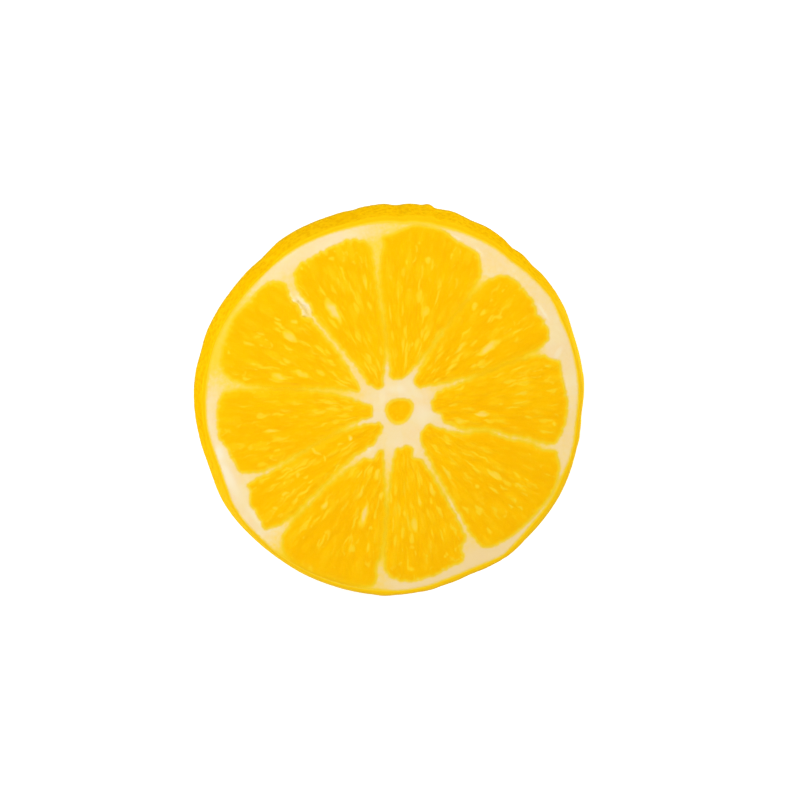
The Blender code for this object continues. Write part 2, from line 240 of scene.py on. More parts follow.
def notches(wedge, degrees):
    # the outermost sacs leave a ragged edge against the pith
    dice = random.Random(20 + wedge["number"])
    a, b, c, d = (dice.uniform(0, 2 * math.pi) for _ in range(4))
    s = np.radians(degrees) * wedge["reach"] / mm
    s = s + 0.4 * np.sin(s * 1.2 + a) + 0.25 * np.sin(s * 2.1 + b)
    notch = (1 - np.abs(np.sin(np.pi * s * mm / wedgeShape["notchPitch"]))) ** 1.4
    return wedge["notch"] * (notch * (0.6 + 0.4 * np.sin(s * 1.5 + c)) + 0.35 * (1 + np.sin(s * 0.8 + d)) / 2)


def ragged(distance, seed):
    dice = random.Random(seed)
    a, b = dice.uniform(0, 6), dice.uniform(0, 6)
    s = distance / mm
    return wedgeShape["ragged"] * (np.sin(s * 2.6 + a + np.sin(s * 0.9)) + 0.7 * np.sin(s * 5.3 + b))


def placeInWedge(wedge, across, along, grow=0.0):
    # across runs from the right membrane (-1) to the left one (1), along from the tip (-1) outwards (1)
    right, left = wedge["right"], wedge["left"]
    middle = (right["angle"][-1] + left["angle"][-1]) / 2
    degrees = np.full(np.shape(across), middle)
    points = core + polar(wedge["reach"], degrees)
    for _ in range(5):
        toward = angleOf(points)
        pithEdge = lemon["upperRadius"] + rimWave(toward) - skinWidth(toward)
        reach = wedge["reach"] + aroundRim(toward, reachShifts) * mm
        reach = np.minimum(reach, pithEdge - wedgeShape["leastPith"])
        aside = polar(1, degrees) @ core
        outer = np.sqrt(reach ** 2 - core @ core + aside ** 2) - aside - notches(wedge, degrees)
        tip = wedge["tip"] - grow
        distance = tip + (1 + along) / 2 * (outer + grow - tip)
        toDegrees = np.degrees(mm / distance)
        halfRight, halfLeft = (
            alongMembrane(distance, line["widths"]) / 2 + ragged(distance, seed) - grow / mm
            for line, seed in ((right, wedge["number"]), (left, 50 + wedge["number"])))
        low = np.interp(distance, right["distance"], right["angle"]) + toDegrees * halfRight
        high = np.interp(distance, left["distance"], left["angle"]) - toDegrees * halfLeft
        degrees = low + (1 + across) / 2 * (high - low)
        points = core + polar(distance, degrees)
    for x, y, reach, moveX, moveY in nudges.get(wedge["number"], []):
        away = np.linalg.norm(points - np.array((x, y)) * mm, axis=-1) / (reach * mm)
        points = points + (1 - smooth(away, 0, 1))[..., None] * np.array((moveX, moveY)) * mm
    return points


def squaredOval(wedge, across, along):
    # a square of places drawn in to an oval with square shoulders
    squareness = np.where(along > 0, wedge["squareness"], wedge["tipSquareness"])
    size = np.maximum(np.abs(across), np.abs(along)) + 1e-9
    a, b = np.abs(across / size), np.abs(along / size)
    draw = (a ** squareness + b ** squareness) ** (-1 / squareness)
    return across * draw, along * draw


def wedgeOutline(wedge):
    finePoints = 1600
    turn = np.linspace(0, 2 * np.pi, finePoints, endpoint=False)
    across, along = np.cos(turn), np.sin(turn)
    size = np.maximum(np.abs(across), np.abs(along))
    fine = placeInWedge(wedge, *squaredOval(wedge, across / size, along / size))
    return evenly(fine, wedgeShape["outlineStep"])


def evenly(loop, step):
    closed = np.vstack([loop, loop[:1]])
    length = np.r_[0, np.cumsum(np.linalg.norm(np.diff(closed, axis=0), axis=1))]
    wanted = np.linspace(0, length[-1], round(length[-1] / step), endpoint=False)
    return np.stack([np.interp(wanted, length, closed[:, i]) for i in (0, 1)], 1)


def insideLoop(points, loop):
    x, y = points[:, 0], points[:, 1]
    within = np.zeros(len(points), bool)
    for a, b in zip(loop, np.roll(loop, -1, axis=0)):
        crosses = (a[1] > y) != (b[1] > y)
        rise = b[1] - a[1] if b[1] != a[1] else 1e-12
        within ^= crosses & (x < a[0] + (y - a[1]) / rise * (b[0] - a[0]))
    return within


def distanceToLoop(points, loop):
    nearest = np.full(len(points), np.inf)
    for a, b in zip(loop, np.roll(loop, -1, axis=0)):
        edge = b - a
        share = np.clip((points - a) @ edge / (edge @ edge), 0, 1)
        away = points - a - share[:, None] * edge
        nearest = np.minimum(nearest, np.sqrt((away ** 2).sum(1)))
    return nearest


def smooth(value, low, high):
    t = np.clip((value - low) / (high - low), 0, 1)
    return t * t * (3 - 2 * t)


# Mesh making

def makePiece(name, points, faces, attributes):
    mesh = bpy.data.meshes.new(name)
    mesh.from_pydata([tuple(p) for p in points], [], [tuple(int(i) for i in f) for f in faces])
    for key, values in attributes.items():
        values = np.asarray(values, np.float32)
        if values.ndim == 1:
            mesh.attributes.new(key, "FLOAT", "POINT").data.foreach_set("value", values)
        else:
            mesh.attributes.new(key, "FLOAT_VECTOR", "POINT").data.foreach_set("vector", values.ravel())
    mesh.shade_smooth()
    mesh.update()
    mesh.set_sharp_from_angle(angle=math.radians(50))
    piece = bpy.data.objects.new(name, mesh)
    bpy.context.scene.collection.objects.link(piece)
    return piece


def gridFaces(rows, columns, first=0, closed=False):
    steps = columns if closed else columns - 1
    i, j = np.meshgrid(np.arange(rows - 1), np.arange(steps), indexing="ij")
    a, b = i * columns + j, i * columns + (j + 1) % columns
    return (np.stack([a, b, b + columns, a + columns], -1).reshape(-1, 4) + first).tolist()


def onBothFaces(**values):
    return {key: np.concatenate([value, value]) for key, value in values.items()}


def bridgeLoops(below, above):
    return [(below[i], below[(i + 1) % len(below)], above[(i + 1) % len(below)], above[i])
            for i in range(len(below))]


# Node making

def plug(tree, socket, value):
    if isinstance(value, bpy.types.NodeSocket):
        tree.links.new(value, socket)
    else:
        socket.default_value = value


def addNode(tree, kind, settings=None, inputs=None):
    node = tree.nodes.new(kind)
    for key, value in (settings or {}).items():
        setattr(node, key, value)
    for key, value in (inputs or {}).items():
        plug(tree, node.inputs[key], value)
    return node


def maths(tree, operation, a, b):
    return addNode(tree, "ShaderNodeMath", {"operation": operation}, {0: a, 1: b}).outputs[0]


def times(tree, first, *others):
    for other in others:
        first = maths(tree, "MULTIPLY", first, other)
    return first


def ramp(tree, value, low, high, toLow=0.0, toHigh=1.0):
    node = addNode(tree, "ShaderNodeMapRange", {"interpolation_type": "SMOOTHSTEP"},
                   {"Value": value, "From Min": low, "From Max": high, "To Min": toLow, "To Max": toHigh})
    return node.outputs["Result"]


def cells(tree, where, scale, randomness, feature="F1", dimensions="2D"):
    return addNode(tree, "ShaderNodeTexVoronoi", {"feature": feature, "voronoi_dimensions": dimensions},
                   {"Vector": where, "Scale": scale, "Randomness": randomness})


def noise(tree, where, scale, detail=2.0, roughness=0.5):
    return addNode(tree, "ShaderNodeTexNoise", None,
                   {"Vector": where, "Scale": scale, "Detail": detail, "Roughness": roughness}).outputs[0]


def newTree(name, kind, inputs, outputs):
    # a socket is given by its default, a number or a colour, or else by its type
    tree = bpy.data.node_groups.new(name, kind)
    for direction, sockets in (("INPUT", inputs), ("OUTPUT", outputs)):
        for socketName, value in sockets.items():
            socketType = value if isinstance(value, str) else {float: "Float", tuple: "Color"}[type(value)]
            socket = tree.interface.new_socket(socketName, in_out=direction,
                                               socket_type="NodeSocket" + socketType)
            if socketType != value:
                socket.default_value = value
    return tree, tree.nodes.new("NodeGroupInput").outputs, tree.nodes.new("NodeGroupOutput").inputs


def growWith(tree, piece, values):
    # runs a Geometry Nodes tree over a piece and keeps the plain mesh
    modifier = piece.modifiers.new(tree.name, "NODES")
    modifier.node_group = tree
    for item in tree.interface.items_tree:
        if item.item_type == "SOCKET" and item.in_out == "INPUT" and item.name in values:
            modifier[item.identifier] = values[item.name]
    piece.update_tag()
    evaluated = piece.evaluated_get(bpy.context.evaluated_depsgraph_get())
    grown = bpy.data.meshes.new_from_object(evaluated)
    grown.name = piece.name
    piece.modifiers.remove(modifier)
    old = piece.data
    piece.data = grown
    bpy.data.meshes.remove(old)
    return piece


def attributeInTree(tree, name, kind="FLOAT"):
    node = addNode(tree, "GeometryNodeInputNamedAttribute", {"data_type": kind}, {"Name": name})
    return next(out for out in node.outputs if out.enabled and out.name == "Attribute")


def storeInTree(tree, geometry, name, value):
    node = addNode(tree, "GeometryNodeStoreNamedAttribute", {"data_type": "FLOAT", "domain": "POINT"},
                   {"Geometry": geometry, "Name": name})
    plug(tree, next(s for s in node.inputs if s.enabled and s.name == "Value"), value)
    return node.outputs["Geometry"]


def finishTree(tree, geometry, offset, finish, output):
    # moves the points, then realizes and paints
    for kind, inputs in (("SetPosition", {"Offset": offset}), ("RealizeInstances", {}),
                         ("SetMaterial", {"Material": finish})):
        geometry = addNode(tree, "GeometryNode" + kind, None, {"Geometry": geometry, **inputs}).outputs[0]
    tree.links.new(geometry, output)


def upwards(tree, height):
    return addNode(tree, "ShaderNodeCombineXYZ", None, {"Z": height}).outputs[0]


# Finishes

juice = {
    "scale": 4.4,
    "randomness": 0.9,
    "narrowing": 0.36,  # the smaller, the longer the sacs
    "finer": 2.1,  # how much finer the thin sacs are
    "apart": 10,  # between one wedge's part of the pattern and the next one's
    "fibresAround": 45,
    "fibresAlong": 0.45,
    "fibresApart": 3.1,
    "sacsBelow": 40,  # where in the patterns the lower face lies
    "fibresBelow": 50,
}


def softMottleGroup():
    # slow clouds and finer specks, both 0 to 1, on the given coordinates
    tree, given, out = newTree(
        "softMottle", "ShaderNodeTree",
        {"Place": "Vector", "Cloud Scale": 100.0, "Speck Scale": 1000.0},
        {"Clouds": "Float", "Specks": "Float"})
    clouds = noise(tree, given["Place"], given["Cloud Scale"], 2.0)
    specks = noise(tree, given["Place"], given["Speck Scale"], 3.0, 0.6)
    tree.links.new(ramp(tree, clouds, 0.35, 0.65), out["Clouds"])
    tree.links.new(ramp(tree, specks, 0.3, 0.7), out["Specks"])
    return tree


def fineSkinGroup():
    # a normal with fine lumps, for anything that was once wet and alive
    tree, given, out = newTree(
        "fineSkin", "ShaderNodeTree",
        {"Place": "Vector", "Scale": 1000.0, "Strength": 0.3, "Distance": 0.0001},
        {"Normal": "Vector"})
    lumps = noise(tree, given["Place"], given["Scale"], 3.0, 0.55)
    bump = addNode(tree, "ShaderNodeBump", None,
                   {"Strength": given["Strength"], "Distance": given["Distance"], "Height": lumps})
    tree.links.new(bump.outputs[0], out["Normal"])
    return tree


def juiceToPithGroup():
    # from the flesh through a bright and a lemony yellow to the pith
    tree, given, out = newTree(
        "juiceToPith", "ShaderNodeTree",
        {"Paleness": 0.0, "Juice": "Color", "Bright": (0.81, 0.53, 0.012, 1),
         "Lemony": (0.81, 0.548, 0.05, 1), "Pith": "Color"},
        {"Color": "Color"})
    colour = mixColours(tree, ramp(tree, given["Paleness"], 0.0, 0.28), given["Juice"], given["Bright"])
    colour = mixColours(tree, ramp(tree, given["Paleness"], 0.22, 0.58), colour, given["Lemony"])
    colour = mixColours(tree, ramp(tree, given["Paleness"], 0.48, 1.0), colour, given["Pith"])
    tree.links.new(colour, out["Color"])
    return tree


def mixColours(tree, share, a, b):
    node = addNode(tree, "ShaderNodeMix", {"data_type": "RGBA", "clamp_factor": True}, {0: share, 6: a, 7: b})
    return node.outputs[2]


mottleGroup = softMottleGroup()
skinGroup = fineSkinGroup()
paleGroup = juiceToPithGroup()


def attributeInShader(tree, name, output="Fac"):
    return addNode(tree, "ShaderNodeAttribute", {"attribute_name": name}).outputs[output]


def newFinish(name, constants):
    material = bpy.data.materials.new(name)
    material.use_nodes = True
    shader = material.node_tree.nodes["Principled BSDF"]
    for key, value in constants.items():
        shader.inputs[key].default_value = value
    return material, material.node_tree, shader.inputs


def mottle(tree, where, cloudScale, speckScale):
    node = addNode(tree, "ShaderNodeGroup", {"node_tree": mottleGroup},
                   {"Place": where, "Cloud Scale": cloudScale, "Speck Scale": speckScale})
    return node.outputs


def fineSkin(tree, where, scale, strength, distance):
    node = addNode(tree, "ShaderNodeGroup", {"node_tree": skinGroup},
                   {"Place": where, "Scale": scale, "Strength": strength, "Distance": distance})
    return node.outputs["Normal"]


def juiceToPith(tree, share, juiceColour, pithColour):
    node = addNode(tree, "ShaderNodeGroup", {"node_tree": paleGroup},
                   {"Paleness": share, "Juice": juiceColour, "Pith": pithColour})
    return node.outputs["Color"]


def objectPlace(tree):
    return addNode(tree, "ShaderNodeTexCoord").outputs["Object"]


fleshColours = {
    "golden": (0.82, 0.444, 0.0003, 1),
    "deep": (0.81, 0.419, 0.0002, 1),
    "yellow": (0.82, 0.488, 0.004, 1),
    "bright": (0.82, 0.53, 0.015, 1),
    "pale": (0.77, 0.59, 0.29, 1),
    "streakPaleness": 0.72,
    "curlsFrom": (17, 23),  # mm from the core
}


def fleshFinish():
    material, tree, shader = newFinish("juicyFlesh", {
        "Roughness": 0.24, "Specular IOR Level": 0.04, "Subsurface Weight": 0.3,
        "Subsurface Radius": (1.0, 0.95, 0.4), "Subsurface Scale": 0.5 * mm,
    })
    place = attributeInShader(tree, "sacPlace", "Vector")
    fibre = attributeInShader(tree, "fibrePlace", "Vector")
    margin = attributeInShader(tree, "margin")
    pale = attributeInShader(tree, "pale")
    where = objectPlace(tree)
    clouds = mottle(tree, where, 190.0, 1500.0)
    colour = mixColours(tree, clouds["Clouds"], fleshColours["deep"], fleshColours["golden"])
    sac = cells(tree, place, juice["scale"], juice["randomness"])
    chance = addNode(tree, "ShaderNodeSeparateColor", None, {0: sac.outputs["Color"]}).outputs
    body = ramp(tree, sac.outputs["Distance"], 0.48, 0.12)
    lighter = times(tree, body, ramp(tree, chance["Red"], 0.35, 1.0), 0.8)
    colour = mixColours(tree, lighter, colour, fleshColours["yellow"])
    thin = cells(tree, place, juice["scale"] * juice["finer"], 1.0)
    thinChance = addNode(tree, "ShaderNodeSeparateColor", None, {0: thin.outputs["Color"]}).outputs
    thinBody = times(tree, ramp(tree, thin.outputs["Distance"], 0.45, 0.1),
                     ramp(tree, thinChance["Red"], 0.55, 1.0), 0.6)
    colour = mixColours(tree, thinBody, colour, fleshColours["yellow"])
    fibres = noise(tree, fibre, 1.0)
    colour = mixColours(tree, ramp(tree, fibres, 0.52, 0.78, 0.0, 0.5), colour, fleshColours["yellow"])
    colour = mixColours(tree, ramp(tree, margin, 0.9, 0.1, 0.0, 0.6), colour, fleshColours["yellow"])
    # near the rim the ends of the sacs show as small bright curls
    outer = ramp(tree, addNode(tree, "ShaderNodeSeparateXYZ", None, {0: fibre}).outputs[1],
                 *(distance * juice["fibresAlong"] for distance in fleshColours["curlsFrom"]))
    curl = times(tree, ramp(tree, sac.outputs["Distance"], 0.2, 0.3),
                 ramp(tree, sac.outputs["Distance"], 0.46, 0.34),
                 ramp(tree, noise(tree, where, 900.0, 1.0), 0.5, 0.62),
                 times(tree, outer, ramp(tree, chance["Blue"], 0.4, 0.7)), 0.75)
    colour = mixColours(tree, curl, colour, fleshColours["bright"])
    # pale streaks, frayed along the fibres, and the paler edge along the membranes
    uneven = times(tree, maths(tree, "SUBTRACT", noise(tree, fibre, 1.4), 0.5), 0.7)
    frayed = ramp(tree, maths(tree, "ADD", pale, uneven), -0.25, 0.35, 0.4, 1.0)
    streaks = times(tree, pale, frayed, fleshColours["streakPaleness"])
    paler = maths(tree, "MAXIMUM", streaks, attributeInShader(tree, "film"))
    plug(tree, shader["Base Color"], juiceToPith(tree, paler, colour, fleshColours["pale"]))
    plug(tree, shader["Roughness"], ramp(tree, clouds["Specks"], 0.0, 1.0, 0.2, 0.34))
    plug(tree, shader["Normal"], fineSkin(tree, fibre, 2.0, 0.25, 0.05 * mm))
    return material


pithColours = {
    "cream": (0.755, 0.59, 0.295, 1),
    "bright": (0.765, 0.64, 0.39, 1),
    "rosy": (0.77, 0.57, 0.32, 1),
    # whiter pith, also used for painted highlights
    "white": (0.775, 0.69, 0.50, 1),
    "soaked": (0.82, 0.455, 0.002, 1),  # thin membranes, yellow with juice
    "shaded": (0.745, 0.56, 0.28, 1),  # the side away from the window
    # juice-yellow, and darker as painted shade in the gaps between torn fibres
    "gap": (0.70, 0.50, 0.09, 1),
}


def pithFinish():
    material, tree, shader = newFinish("softPith", {
        "Roughness": 0.55, "Specular IOR Level": 0.07, "Subsurface Weight": 0.3,
        "Subsurface Radius": (1.0, 1.0, 0.7), "Subsurface Scale": 0.5 * mm,
    })
    where = objectPlace(tree)
    clouds = mottle(tree, where, 170.0, 1700.0)
    rosy = mottle(tree, where, 420.0, 2600.0)
    colour = mixColours(tree, clouds["Clouds"], pithColours["cream"], pithColours["bright"])
    colour = mixColours(tree, times(tree, rosy["Clouds"], 0.6), colour, pithColours["rosy"])
    colour = mixColours(tree, times(tree, clouds["Specks"], 0.25), colour, pithColours["bright"])
    # whiter pith, and painted highlights where glints lie
    colour = mixColours(tree, attributeInShader(tree, "white"), colour, pithColours["white"])
    colour = mixColours(tree, attributeInShader(tree, "shade"), colour, pithColours["shaded"])
    grain = maths(tree, "SUBTRACT", noise(tree, where, 1400.0), 0.5)
    cream = attributeInShader(tree, "cream")
    uneven = times(tree, grain, 0.55, ramp(tree, cream, 1.05, 0.6))
    cream = times(tree, cream, maths(tree, "ADD", uneven, 1.0))
    colour = juiceToPith(tree, cream, pithColours["soaked"], colour)
    # juice-yellow and painted shade in the gaps between the torn fibres
    colour = mixColours(tree, attributeInShader(tree, "gap"), colour, pithColours["gap"])
    plug(tree, shader["Base Color"], colour)
    plug(tree, shader["Roughness"], ramp(tree, cream, 0.0, 1.0, 0.35, 0.6))
    plug(tree, shader["Normal"], fineSkin(tree, where, 2500.0, 0.35, 0.05 * mm))
    return material


peelColours = {
    "golden": (0.66, 0.365, 0.0006, 1),
    "yellow": (0.68, 0.39, 0.002, 1),
    "deep": (0.60, 0.30, 0.0004, 1),
    # painted shade: the foot of the wall, darker where it meets the floor
    "footShade": (0.47, 0.305, 0.012, 1),
    "cut": (0.79, 0.455, 0.003, 1),
    "shaded": (0.73, 0.445, 0.012, 1),  # the outer edge on the side away from the window
    "innerPaleness": 0.45,
}


def peelFinish():
    material, tree, shader = newFinish("waxyPeel", {
        "Roughness": 0.34, "Specular IOR Level": 0.0, "Subsurface Weight": 0.15,
        "Subsurface Radius": (1.0, 0.6, 0.15), "Subsurface Scale": 0.5 * mm,
    })
    where = objectPlace(tree)
    clouds = mottle(tree, where, 140.0, 1100.0)
    colour = mixColours(tree, clouds["Clouds"], peelColours["golden"], peelColours["yellow"])
    pit = attributeInShader(tree, "pit")
    colour = mixColours(tree, times(tree, pit, 0.8), colour, peelColours["deep"])
    depth = attributeInShader(tree, "skinDepth")
    # painted shade along the foot of the wall, by the floor
    colour = mixColours(tree, attributeInShader(tree, "footShade"), colour, peelColours["footShade"])
    colour = mixColours(tree, ramp(tree, depth, 0.0, 0.14), colour, peelColours["cut"])
    shade = times(tree, attributeInShader(tree, "shade"), ramp(tree, depth, 0.5, 0.1))
    colour = mixColours(tree, shade, colour, peelColours["shaded"])
    inwards = times(tree, ramp(tree, depth, 0.55, 1.0), peelColours["innerPaleness"])
    plug(tree, shader["Base Color"], juiceToPith(tree, inwards, colour, pithColours["cream"]))
    plug(tree, shader["Roughness"], ramp(tree, clouds["Specks"], 0.0, 1.0, 0.34, 0.48))
    plug(tree, shader["Normal"], fineSkin(tree, where, 3000.0, 0.25, 0.04 * mm))
    return material


flesh, pith, peel = fleshFinish(), pithFinish(), peelFinish()
print("finishes made")


# Flesh: ten wedges with juice sacs on both cut faces

fleshMesh = {
    "acrossPoints": 84,
    "alongPoints": 150,
    "relaxSteps": 10,
    "overlap": 0.12 * mm,  # how far a wedge reaches into its pocket's wall
    "below": 0.012 * mm,  # and how far it lies under the pith there
    "leastHeight": 0.075 * mm,  # of the lower face, so that its sacs end above the floor
    "rise": 0.09 * mm,
    "riseWidth": 1.2 * mm,
    "domeHeight": 0.13 * mm,
    "domeBlend": 0.3,
    "fineHeight": 0.05 * mm,
    "softEdge": 0.45 * mm,  # the flesh turns paler over this width
    "streakBend": 0.13 * mm,
}
# pale sacs that show most: distance (mm) and angle from the core, length, width (mm), strength, and how
# far it is turned from pointing outwards
paleSacs = {
    0: [(20.7, 55, 1.4, 1.0, 0.55), (21.9, 44, 1.0, 0.8, 0.45), (17.4, 36, 4.1, 1.1, 0.9),
        (14.1, 47, 2.9, 0.8, 0.55), (10.9, 41, 2.2, 0.8, 0.5), (15.0, 31, 1.6, 0.8, 0.4),
        (23.1, 51, 0.9, 0.6, 0.35), (13.8, 32, 1.2, 0.6, 0.5), (15.0, 29, 1.0, 0.6, 0.45)],
    1: [(24.8, 80, 1.0, 0.8, 0.5), (19.0, 81, 2.5, 1.0, 0.45), (16.5, 76, 1.9, 1.0, 0.55),
        (13.0, 64, 3.8, 0.6, 0.35), (27.3, 84, 0.8, 0.6, 0.35), (26.5, 72, 0.8, 0.6, 0.4),
        (22.5, 89, 1.6, 0.6, 0.3), (13.2, 87, 1.8, 0.6, 0.35), (13.1, 74, 1.5, 0.6, 0.4)],
    2: [(19.5, 123, 4.3, 1.3, 1.0), (21.7, 105, 2.4, 0.8, 0.55), (27.1, 114, 0.8, 0.8, 0.4),
        (24.9, 112, 0.8, 0.6, 0.4), (9.6, 120, 1.6, 0.6, 0.35), (28.0, 124, 0.8, 0.5, 0.45)],
    3: [(21.4, 145, 2.5, 1.0, 0.8), (22.3, 139, 1.0, 0.8, 0.6), (26.6, 155, 2.1, 0.6, 0.5),
        (25.6, 150, 1.4, 0.6, 0.4), (19.9, 163, 2.5, 0.8, 0.75), (16.9, 158, 2.7, 0.8, 0.6),
        (14.0, 153, 1.7, 0.6, 0.45), (25.0, 167, 1.0, 0.6, 0.4), (24.7, 142, 1.2, 0.5, 0.45),
        (24.7, 161, 0.8, 0.4, 0.5), (24.0, 163, 0.7, 0.4, 0.4),
        (25.0, 167, 1.2, 0.5, 0.5), (28.9, 160, 0.8, 0.5, 0.45)],
    4: [(21.9, 181, 1.9, 0.8, 0.45), (20.6, 188, 2.2, 0.7, 0.7)],
    5: [(8.8, 208, 0.8, 0.8, 0.9), (19.5, 208, 0.8, 0.6, 0.45), (18.9, 212, 1.0, 0.6, 0.5),
        (22.3, 216, 1.4, 0.6, 0.55), (19.8, 207, 0.7, 0.6, 0.5), (18.9, 212, 0.7, 0.6, 0.45),
        (18.1, 215, 0.7, 0.5, 0.4), (21.5, 212, 0.7, 0.5, 0.4), (24.9, 218, 0.8, 0.7, 0.5),
        (14.7, 205, 2.2, 0.45, 0.6, 115), (14.0, 212, 1.3, 0.45, 0.55, 75)],
    6: [(19.1, 232, 1.7, 1.0, 0.75), (17.4, 252, 3.8, 1.1, 1.0), (10.5, 251, 1.9, 0.9, 0.6),
        (14.3, 245, 2.4, 0.7, 0.55), (23.2, 252, 1.1, 1.0, 0.45), (13.8, 259, 1.3, 0.6, 0.6),
        (23.3, 251, 1.3, 0.7, 0.5), (19.2, 257, 0.9, 0.5, 0.45), (22.4, 258, 1.4, 0.5, 0.5),
        (13.8, 259, 1.6, 0.6, 0.6)],
    7: [(13.7, 293, 2.5, 0.8, 0.6), (14.9, 283, 1.9, 0.7, 0.6), (18.4, 278, 2.7, 0.8, 0.7),
        (19.5, 272, 2.2, 0.8, 0.4), (24.4, 289, 0.8, 0.6, 0.35), (25.6, 275, 1.0, 0.8, 0.4),
        (23.8, 281, 0.7, 0.5, 0.4), (24.7, 288, 0.7, 0.5, 0.45), (25.5, 274, 0.7, 0.5, 0.4),
        (13.9, 265, 1.8, 0.5, 0.45)],
    8: [(12.5, 308, 2.9, 0.8, 0.6), (18.5, 326, 2.9, 0.8, 0.65), (19.9, 320, 1.9, 0.6, 0.5),
        (20.4, 309, 1.7, 0.6, 0.5), (19.2, 304, 1.6, 0.6, 0.4), (23.5, 322, 1.0, 0.6, 0.3),
        (17.5, 316, 0.7, 0.5, 0.45), (20.8, 308, 1.0, 0.5, 0.45), (23.6, 322, 0.9, 0.5, 0.5),
        (23.8, 319, 1.0, 0.5, 0.6), (25.1, 321, 0.8, 0.4, 0.5), (22.7, 328, 1.3, 0.4, 0.55),
        (23.3, 331, 1.1, 0.4, 0.45)],
    9: [(18.4, 15, 2.5, 0.6, 0.4), (19.6, 8, 2.1, 0.6, 0.5), (24.8, 17, 1.0, 0.6, 0.5),
        (13.2, 358, 2.5, 0.8, 0.85), (10.0, 351, 2.5, 0.6, 0.5), (20.6, 357, 1.6, 0.6, 0.4),
        (24.7, 17, 1.0, 0.5, 0.6), (24.8, 7, 0.8, 0.5, 0.5), (24.9, 355, 0.8, 0.6, 0.55),
        (10.3, 21, 1.8, 0.5, 0.45), (9.9, 350, 1.8, 0.6, 0.6)],
}


faintSacs = {
    "count": 44,
    "distances": (7.5, 25),
    "across": (0.1, 0.9),
    "lengths": (1.0, 3.2),
    "widths": (0.32, 0.62),
    "strengths": (0.12, 0.45),
}


def faintStreaks(wedge):
    dice = random.Random(300 + wedge["number"])
    rows = []
    for _ in range(faintSacs["count"]):
        distance = dice.uniform(*faintSacs["distances"])
        low = np.interp(distance * mm, wedge["right"]["distance"], wedge["right"]["angle"])
        high = np.interp(distance * mm, wedge["left"]["distance"], wedge["left"]["angle"])
        degrees = low + (high - low) * dice.uniform(*faintSacs["across"])
        sizes = [dice.uniform(*faintSacs[key]) for key in ("lengths", "widths", "strengths")]
        rows.append((distance, degrees, *sizes))
    return rows


def paleness(wedge, flat):
    total = np.zeros(len(flat))
    x, y = flat[:, 0] / mm, flat[:, 1] / mm
    wander = np.stack([np.sin(2.9 * x + np.sin(1.7 * y)), np.sin(3.1 * y + 1.3 * np.sin(2.3 * x))], 1)
    bent = flat + fleshMesh["streakBend"] * wander
    for distance, degrees, length, width, strength, *turn in paleSacs[wedge["number"]] + faintStreaks(wedge):
        off = bent - core - polar(distance * mm, degrees)
        lies = degrees + sum(turn)
        outwards, sideways = off @ polar(1, lies), off @ polar(1, lies + 90)
        # a drop, narrower towards the core
        halfWidth = width / 2 * mm * (1 + 0.5 * np.clip(outwards / (length * mm), -1, 1))
        reach = (outwards / (length / 2 * mm)) ** 2 + (sideways / halfWidth) ** 2
        total = np.maximum(total, strength * (1 - smooth(np.sqrt(reach), 0.3, 1.5)))
    return total


def juiceSacTree():
    tree, given, out = newTree(
        "juiceSacs", "GeometryNodeTree",
        {"Geometry": "Geometry", "Sac Scale": 4.0, "Randomness": 1.0, "Blend": 0.3,
         "Dome Height": 0.0001, "Fine Height": 0.0001, "Finish": "Material"},
        {"Geometry": "Geometry"})
    place = attributeInTree(tree, "sacPlace", "FLOAT_VECTOR")
    margin = attributeInTree(tree, "margin")

    def domes(scale, randomness, height):
        sac = cells(tree, place, scale, randomness, "SMOOTH_F1")
        plug(tree, sac.inputs["Smoothness"], given["Blend"])
        return times(tree, maths(tree, "SUBTRACT", 0.4, sac.outputs["Distance"]), height)

    large = domes(given["Sac Scale"], given["Randomness"], given["Dome Height"])
    fine = domes(times(tree, given["Sac Scale"], juice["finer"]), 1.0, given["Fine Height"])
    height = times(tree, maths(tree, "ADD", large, fine), ramp(tree, margin, 0.1, 1.0),
                   attributeInTree(tree, "side"))
    finishTree(tree, given["Geometry"], upwards(tree, height), given["Finish"], out["Geometry"])
    return tree


def relaxed(grid):
    # evens out the points inside the grid, so that no face folds over; its border stays
    grid = grid.copy()
    for _ in range(fleshMesh["relaxSteps"]):
        grid[1:-1, 1:-1] = (grid[:-2, 1:-1] + grid[2:, 1:-1] + grid[1:-1, :-2] + grid[1:-1, 2:]) / 4
    return grid


